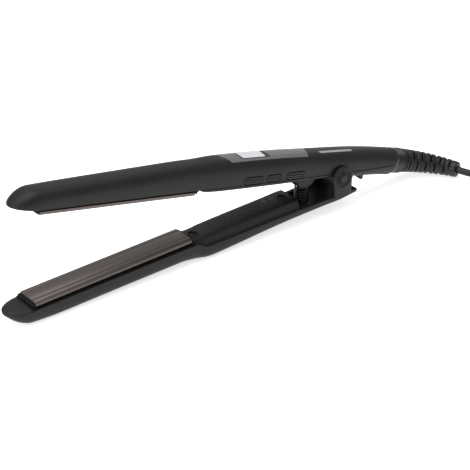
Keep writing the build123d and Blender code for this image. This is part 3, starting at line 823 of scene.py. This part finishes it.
def lower_inner_cover():
    rows = []
    columns, steps = 130, 84
    for i in range(columns + 1):
        x = COVER_START + (COVER_END - COVER_START) * i / columns
        half = girth(LOWER_STATIONS, x)[0] - 0.05
        ys = [-half * cos(pi * j / steps) for j in range(steps + 1)]
        ring = [(x, y, cover_height(x, y)) for y in ys]
        ring += [(x, y, min(cover_height(x, y) - 0.1, -seam_at(-1, x) + 0.02)) for y in reversed(ys)]
        rows.append(ring)
    piece = loft("lower_cover", rows, LOWER)
    collars = []
    for x in SCREWS:
        axis = (Vector((x, 0, -SEAM)), Vector((0, 0, 1)), Vector((1, 0, 0)), Vector((0, 1, 0)))
        low = cover_height(x, 0) + SEAM
        profile = [
            (0.1, 2.3), (0.1, 3.3), (low + 0.1, 3.2), (low + 0.4, 2.95), (low + 0.4, 2.6), (low + 0.1, 2.35)
        ]
        collars.append(turned("collar", profile, axis, LOWER, 48))
        well = turned("well", [(-1.0, 0), (-1.0, 2.35), (6.0, 2.35), (6.0, 0)], axis, LOWER, 48)
        combine(piece, well, "DIFFERENCE")
    join(piece, *collars)
    fit(piece, "lower_arm", "inner_black", "lower_inner_cover", smooth=50)


def label_bars():
    """Plain raised bars on the raised middle of the cover."""
    rows = []
    for y, start, count, pitch, length in (
        (4.9, 146.0, 7, 6.2, 5.0), (3.2, 146.0, 9, 4.6, 3.8), (1.5, 146.0, 6, 6.8, 5.6),
        (-0.4, 146.0, 9, 4.4, 3.4), (-2.2, 146.0, 5, 7.4, 6.2), (-4.0, 146.0, 8, 4.9, 4.0),
    ):
        size = Vector((length, 0.6, 0.5))
        top = -2.62 - 0.035 * y * y / 4
        where = Vector((start + length / 2, y, top))
        rows.append(row_of_blocks("bars", where, count, Vector((pitch, 0, 0)), size, LABEL, LOWER, 0.35))
    for x in (189.2, 194.0):
        where = Vector((x, 2.6, -2.68))
        rows.append(
            row_of_blocks("square", where, 1, Vector((1, 0, 0)), Vector((3.4, 4.4, 0.5)), LABEL, LOWER)
        )
    piece = join(rows[0], *rows[1:])
    piece.name = "cover_bars"
    fit(piece, "lower_arm", "inner_black")
    piece.data.materials.clear()
    piece.data.materials.append(LABEL)


def cover_screws():
    heads = []
    for x in SCREWS:
        axis = (Vector((x, 0, -SEAM)), Vector((0, 0, 1)), Vector((1, 0, 0)), Vector((0, 1, 0)))
        low = cover_height(x, 0) + SEAM - 0.55
        profile = [
            (-5.0, 0), (-5.0, 1.1), (low - 0.9, 1.1), (low - 0.9, 2.1),
            (low - 0.35, 2.1), (low, 1.6), (low + 0.05, 0),
        ]
        head = turned("head", profile, axis, LOWER, 40)
        for turn in (0, 90):
            cross = [(-1.1, -0.25), (1.1, -0.25), (1.1, 0.25), (-1.1, 0.25)]
            spin = Matrix.Rotation(radians(turn + 20), 2)
            bar = [tuple(Vector((x, 0)) + spin @ Vector(c)) for c in cross]
            combine(head, prism_up("cross", bar, low - SEAM - 0.6, 3, LOWER), "DIFFERENCE")
        heads.append(head)
    piece = join(*heads)
    piece.name = "cover_screws"
    fit(piece, "lower_arm", "screw_steel", "lower_cover_screws")


def pivot_caps():
    """The round caps over the hinge pin, with fine rings turned into them."""
    caps = []
    for way in (-1, 1):
        profile = [(11.0, 0.0), (11.0, 6.5), (12.8, 6.5), (13.1, 6.2)]
        for ring in range(4):
            radius = 5.9 - ring * 0.9
            profile += [
                (13.1 + ring * 0.1, radius), (12.8, radius - 0.14),
                (12.8, radius - 0.36), (13.2 + ring * 0.1, radius - 0.5),
            ]
        profile += [(13.6, 2.0), (13.65, 0.0)]
        axis = (HINGE, Vector((0, way, 0)), Vector((1, 0, 0)), Vector((0, 0, 1)))
        caps.append(turned("cap", profile, axis, LOWER, 96))
    piece = join(*caps)
    piece.name = "hinge_caps"
    fit(piece, "lower_arm", "inner_black", "pivot_caps", smooth=25)


def spring():
    """The opening spring, drawn at one fixed length."""
    x, base, length, radius, wire, turns = 216.5, -12.3, 12.4, 4.0, 0.6, 5.5
    rows = []
    count = 132
    for i in range(count + 1):
        angle = tau * turns * i / count
        z = base + wire + (length - 2 * wire) * i / count
        centre = Vector((x + radius * cos(angle), radius * sin(angle), z))
        out = Vector((cos(angle), sin(angle), 0))
        ring = [
            centre + (out * cos(tau * k / 10) + Vector((0, 0, 1)) * sin(tau * k / 10)) * wire
            for k in range(10)
        ]
        rows.append([tuple(p) for p in ring])
    piece = loft("opening_spring", rows, LOWER)
    # The spring's near-black finish holds painted shade of the cavity between the arms.
    fit(piece, "lower_arm", "spring_steel", "return_spring")
    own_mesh(piece)


# ---------------------------------------------------------------- swivel, strain relief, cord


def swivel_collar():
    outside = [(COLLAR_START, 7.6), (COLLAR_START + 0.12, 8.0), (COLLAR_START + 0.5, 8.15), (-7.0, 8.15)]
    outside += [(-6.2, 8.1)]
    for ring in range(3):
        start = -6.0 + ring * TIGHT_PITCH
        outside += [(start + TIGHT_PITCH * k / 10, 8.05 - 0.7 * sin(pi * k / 10) ** 6) for k in range(1, 11)]
    outside += [(-0.25, 7.9)]
    bore = [(-0.25, 2.8), (-24.0, 2.8), (-24.0, 3.95), (-21.9, 3.95), (-9.2, 3.95), (COLLAR_START, 3.95)]
    piece = turned("swivel_ring", outside + bore, TAIL, UPPER, 96)
    fit(piece, "swivel_collar", "swivel_plastic", "swivel_collar")


RELIEF_BEND_RADIUS = 33.8
RELIEF_BEND = radians(70.8)
RELIEF_LIFT = radians(8.0)
RELIEF_START_RADIUS = 7.7
RELIEF_END_RADIUS = 4.9
RELIEF_LENGTH = RELIEF_BEND_RADIUS * RELIEF_BEND
TIGHT_RINGS = 2
TIGHT_PITCH = 1.9
RIB_PITCH = 3.45
RIB_START = 6.1
SLOT_DEPTH = 2.0


def relief_frame(along):
    """Centre, heading, and the two directions across the bent relief at a distance along it."""
    bend_way = TAIL_SIDE * -cos(RELIEF_LIFT) + TAIL_UP * sin(RELIEF_LIFT)
    turn = along / RELIEF_BEND_RADIUS
    centre = TAIL_ORIGIN + (TAIL_AXIS * sin(turn) + bend_way * (1 - cos(turn))) * RELIEF_BEND_RADIUS
    heading = TAIL_AXIS * cos(turn) + bend_way * sin(turn)
    inward = bend_way * cos(turn) - TAIL_AXIS * sin(turn)
    return centre, heading, inward, inward.cross(heading)


def relief_radius(along, angle):
    """Radius of the relief: two tight rings, then ribs with slots that alternate round it."""
    share = along / RELIEF_LENGTH
    radius = RELIEF_START_RADIUS + (RELIEF_END_RADIUS - RELIEF_START_RADIUS) * share
    radius += 0.2 * sin(pi * share)
    ringed = TIGHT_RINGS * TIGHT_PITCH
    if along < ringed:
        return radius - 0.62 * (0.5 + 0.5 * cos(tau * along / TIGHT_PITCH)) ** 2
    ribs_along = (along - RIB_START) / RIB_PITCH
    groove = round(ribs_along)
    away = (ribs_along - groove) * RIB_PITCH
    if groove < 0 or along > RELIEF_LENGTH - 2.4:
        return radius
    radius -= 0.42 * exp(-((away / 0.5) ** 2))
    centre = radians(-15) if groove % 2 == 0 else radians(43)
    swing = (angle - centre + radians(60)) % radians(120) - radians(60)
    window = 1 - step_up(abs(swing), radians(20), radians(26))
    window *= 1 - step_up(abs(away), 0.42, 0.62)
    return radius - SLOT_DEPTH * window * (0.75 + 0.25 * radius / RELIEF_START_RADIUS)


def strain_relief():
    rows = []
    steps, around = 330, 108
    for i in range(steps + 1):
        along = RELIEF_LENGTH * i / steps
        centre, _, inward, upward = relief_frame(along)
        ring = []
        for k in range(around):
            angle = tau * k / around
            radius = relief_radius(along, angle)
            past = RELIEF_LENGTH - along
            if past < 0.8:
                radius -= 0.8 - sqrt(max(0.0, 0.64 - (0.8 - past) ** 2))
            ring.append(tuple(centre + (inward * cos(angle) + upward * sin(angle)) * radius))
        rows.append(ring)
    centre, heading, inward, upward = relief_frame(RELIEF_LENGTH)
    for back, radius in ((0.0, 2.75), (0.9, 2.4), (0.9, 1.2)):
        ring = [
            centre - heading * back
            + (inward * cos(tau * k / around) + upward * sin(tau * k / around)) * radius
            for k in range(around)
        ]
        rows.append([tuple(p) for p in ring])
    piece = loft("ribbed_relief", rows, UPPER)
    return fit(piece, "upper_arm", "relief_rubber", "strain_relief", smooth=50)


CORD_DIAMETER = 4.5
CORD_ROUTE = [
    (182.3, -22.46, 5.98), (185.14, -29.93, 5.6), (192.1, -36.4, 4.8), (205, -38.2, 3.4), (238, -38.4, 2.25)
]
PLUG_ROUTE = [(250, -35.2, 20.25), (262.6, -28.3, 19), (274.4, -24, 13.5), (286.6, -21.9, 7.2)]
COIL_CENTRE = Vector((238.144, -14.700, 0))
COIL_RADIUS = 19.2
COIL_TURNS = 14.0843
COIL_START = 269.65
TURN_POINTS = 16


def coil_points():
    """The coil's turns: three side by side, five high, wound inwards and outwards in turn."""
    lanes = [1, 0, -1, -1, 0, 1, 1, 0, -1, -1, 0, 1, -1, 0, 1, 1]
    points = []
    for k in range(1, round(COIL_TURNS * TURN_POINTS)):
        turn = k / TURN_POINTS
        whole = int(turn)
        cross = step_up(turn - whole, 0.8, 1.0)
        lane = lanes[whole] + (lanes[whole + 1] - lanes[whole]) * cross
        level = whole // 3 + ((whole + 1) // 3 - whole // 3) * cross
        angle = radians(COIL_START) + tau * turn
        radius = COIL_RADIUS + CORD_DIAMETER * lane
        height = CORD_DIAMETER * (level + 0.5)
        points.append(COIL_CENTRE + Vector((radius * cos(angle), radius * sin(angle), height)))
    return points


def free_cord():
    route = [Vector(p) for p in CORD_ROUTE] + coil_points() + [Vector(p) for p in PLUG_ROUTE]
    data = bpy.data.curves.new("mains_cord", "CURVE")
    data.dimensions = "3D"
    data.bevel_depth = CORD_DIAMETER / 2 * MM
    data.bevel_resolution = 6
    data.use_fill_caps = True
    line = data.splines.new("NURBS")
    line.points.add(len(route) - 1)
    for point, place in zip(line.points, route):
        point.co = (*(place * MM), 1)
    line.order_u = 3
    line.use_endpoint_u = True
    line.resolution_u = 6
    cord = bpy.data.objects.new("mains_cord", data)
    bpy.context.scene.collection.objects.link(cord)
    data.materials.append(FINISHES["cord_rubber"])
    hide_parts("power_cord", "cord_coil", "plug_lead")
    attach(cord, "upper_arm")
    return cord


TIE_BEARING = radians(100)


def coil_tie():
    """A soft strap round the bundle of turns."""
    out = Vector((cos(TIE_BEARING), sin(TIE_BEARING), 0))
    along = Vector((-sin(TIE_BEARING), cos(TIE_BEARING), 0))
    middle = COIL_CENTRE + out * COIL_RADIUS + Vector((0, 0, CORD_DIAMETER * 2.5))
    width, height, thick = 3 * CORD_DIAMETER, 5 * CORD_DIAMETER, 0.7
    corners = [(-1, -1), (1, -1), (1, 1), (-1, 1)]
    rows = []
    for way, grow in ((-3.4, 0.0), (-3.2, thick), (3.2, thick), (3.4, 0.0)):
        outline = rounded(
            [(x * (width / 2 + grow), y * (height / 2 + min(grow, 0.45))) for x, y in corners], 2.2, 8
        )
        rows.append([tuple(middle + along * way + out * x + Vector((0, 0, y + 0.45))) for x, y in outline])
    for way, grow in ((3.4, 0.0), (-3.4, 0.0)):
        outline = rounded(
            [(x * (width / 2 + grow - 0.3), y * (height / 2 + grow - 0.3)) for x, y in corners], 2.0, 8
        )
        rows.append([tuple(middle + along * way + out * x + Vector((0, 0, y + 0.45))) for x, y in outline])
    across = len(rows[0])
    points = [p for row in rows for p in row]
    faces = []
    for i in range(len(rows)):
        n = (i + 1) % len(rows)
        for j in range(across):
            k = (j + 1) % across
            faces.append((i * across + j, i * across + k, n * across + k, n * across + j))
    piece = solid("cord_strap", points, faces, TABLE)
    return fit(piece, "upper_arm", "tie_plastic", "coil_tie")


PLUG_LENGTH = 53.8


def plug():
    """A flat two-pin plug with a ribbed neck, its pins lying level."""
    rear = Vector(PLUG_ROUTE[-1])
    way = Vector(
        (PLUG_ROUTE[-1][0] - PLUG_ROUTE[-2][0], PLUG_ROUTE[-1][1] - PLUG_ROUTE[-2][1], 0)
    ).normalized()
    side = Vector((way.y, -way.x, 0))
    up = Vector((0, 0, 1))
    rows = []
    stations = (
        (0.0, 2.9, 2.9, 2.0), (0.6, 3.2, 3.2, 2.0), (8.0, 3.8, 3.8, 2.0), (19.0, 4.7, 4.7, 2.1),
        (23.0, 6.0, 6.0, 2.6), (30.0, 8.5, 6.6, 3.0), (38.0, 10.4, 6.75, 3.3), (46.0, 11.8, 6.75, 3.6),
        (52.6, 12.9, 6.75, 3.8), (PLUG_LENGTH, 12.6, 6.4, 3.8),
    )
    count = 110
    for i in range(count + 1):
        s = PLUG_LENGTH * i / count
        a, b, square = (smooth_value(stations, s, c) for c in (1, 2, 3))
        if 3 < s < 18:
            dip = 0.55 * exp(-((((s - 3) % 3.0 - 1.5) / 0.55) ** 2))
            a, b = a - dip, b - dip
        grip = 0.35 * exp(-((((s - 34) % 2.4 - 1.2) / 0.5) ** 2)) if 34 < s < 46 else 0.0
        ring = []
        for k in range(64):
            angle = tau * k / 64
            x = (a - grip) * power(cos(angle), 2 / square)
            z = b * power(sin(angle), 2 / square)
            ring.append(tuple(rear + way * s + side * x + up * z))
        rows.append(ring)
    body = loft("two_pin_plug", rows, TABLE)
    fit(body, "upper_arm", "plug_plastic", "plug_body", smooth=45)
    pins = []
    for x in (-9.3, 9.3):
        profile = [(53.0, 0), (53.0, 2.0), (72.0, 2.0), (72.7, 1.75), (73.0, 1.2), (73.0, 0)]
        pins.append(turned("pin", profile, (rear + side * x, way, side, up), TABLE, 32))
    pair = join(*pins)
    pair.name = "contact_pins"
    fit(pair, "upper_arm", "plug_brass", "plug_pins")
    return body, pair


# ---------------------------------------------------------------- assembly

cord = free_cord()
relief = strain_relief()
tie = coil_tie()
plug_moulding, contact_pins = plug()

upper_outer_shell()
top_inlays()
for number, (centre, length) in enumerate(BUTTONS, start=1):
    button(number, centre, length)
lens = dome("indicator", (211.5, -10.15, 9.2), 0.75, 0.3, UPPER)
fit(lens, "upper_arm", "gloss_black", "indicator_lens")
upper_inner_cover()
plate("upper", 1, UPPER, "upper_plate_assembly")
plate("lower", -1, LOWER, "lower_plate_assembly")
carrier("upper", 1, UPPER)
carrier("lower", -1, LOWER)
cushions("upper", 1, UPPER)
cushions("lower", -1, LOWER)
lower_outer_shell()
lower_inner_cover()
label_bars()
cover_screws()
pivot_caps()
spring()
swivel_collar()


def finish_carried_nodes():
    """The inner pieces keep their modelled shape and get their finish."""
    slots = {part["node"]: part["material_slot"] for part in frame["record"]["subparts"]}
    for name, node in frame["nodes"].items():
        node.data.materials.clear()
        node.data.materials.append(FINISHES[slots[name]])
        for polygon in node.data.polygons:
            polygon.material_index = 0


finish_carried_nodes()

# ---------------------------------------------------------------- table and light


def table():
    mesh = bpy.data.meshes.new("table")
    reach, level = 6.0, -0.0002
    corners = [(-reach, -reach, level), (reach, -reach, level), (reach, reach, level), (-reach, reach, level)]
    mesh.from_pydata(corners, [], [(0, 1, 2, 3)])
    floor = bpy.data.objects.new("table", mesh)
    bpy.context.scene.collection.objects.link(floor)
    material, tree, shader = blank("pale_table")
    soft = noise(tree, here(tree), 8.0, 2.0)
    tree.links.new(tint(tree, soft, (0.93, 0.93, 0.93), (0.95, 0.95, 0.95)), shader.inputs["Base Color"])
    shader.inputs["Roughness"].default_value = 0.9
    shader.inputs["Specular IOR Level"].default_value = 0.1
    shader.inputs["Emission Color"].default_value = (1, 1, 1, 1)
    shader.inputs["Emission Strength"].default_value = 0.62
    mesh.materials.append(material)


def softbox(name, place, aim, width, height, watts):
    data = bpy.data.lights.new(name, "AREA")
    data.shape = "RECTANGLE"
    data.size = width
    data.size_y = height
    data.energy = watts
    lamp = bpy.data.objects.new(name, data)
    lamp.location = place
    lamp.rotation_euler = (Vector(aim) - Vector(place)).to_track_quat("-Z", "Y").to_euler()
    bpy.context.scene.collection.objects.link(lamp)


def studio():
    world = bpy.data.worlds.new("studio")
    world.use_nodes = True
    world.node_tree.nodes["Background"].inputs["Color"].default_value = (1, 1, 1, 1)
    world.node_tree.nodes["Background"].inputs["Strength"].default_value = 0.6
    bpy.context.scene.world = world
    softbox("overhead", (-0.1, 0.25, 1.3), (0.0, 0.0, 0.0), 1.5, 1.0, 15.0)
    softbox("left", (-1.3, -0.3, 0.7), (0.0, 0.0, 0.02), 0.8, 0.8, 8.0)
    bpy.context.scene.view_settings.view_transform = "Standard"


table()
studio()
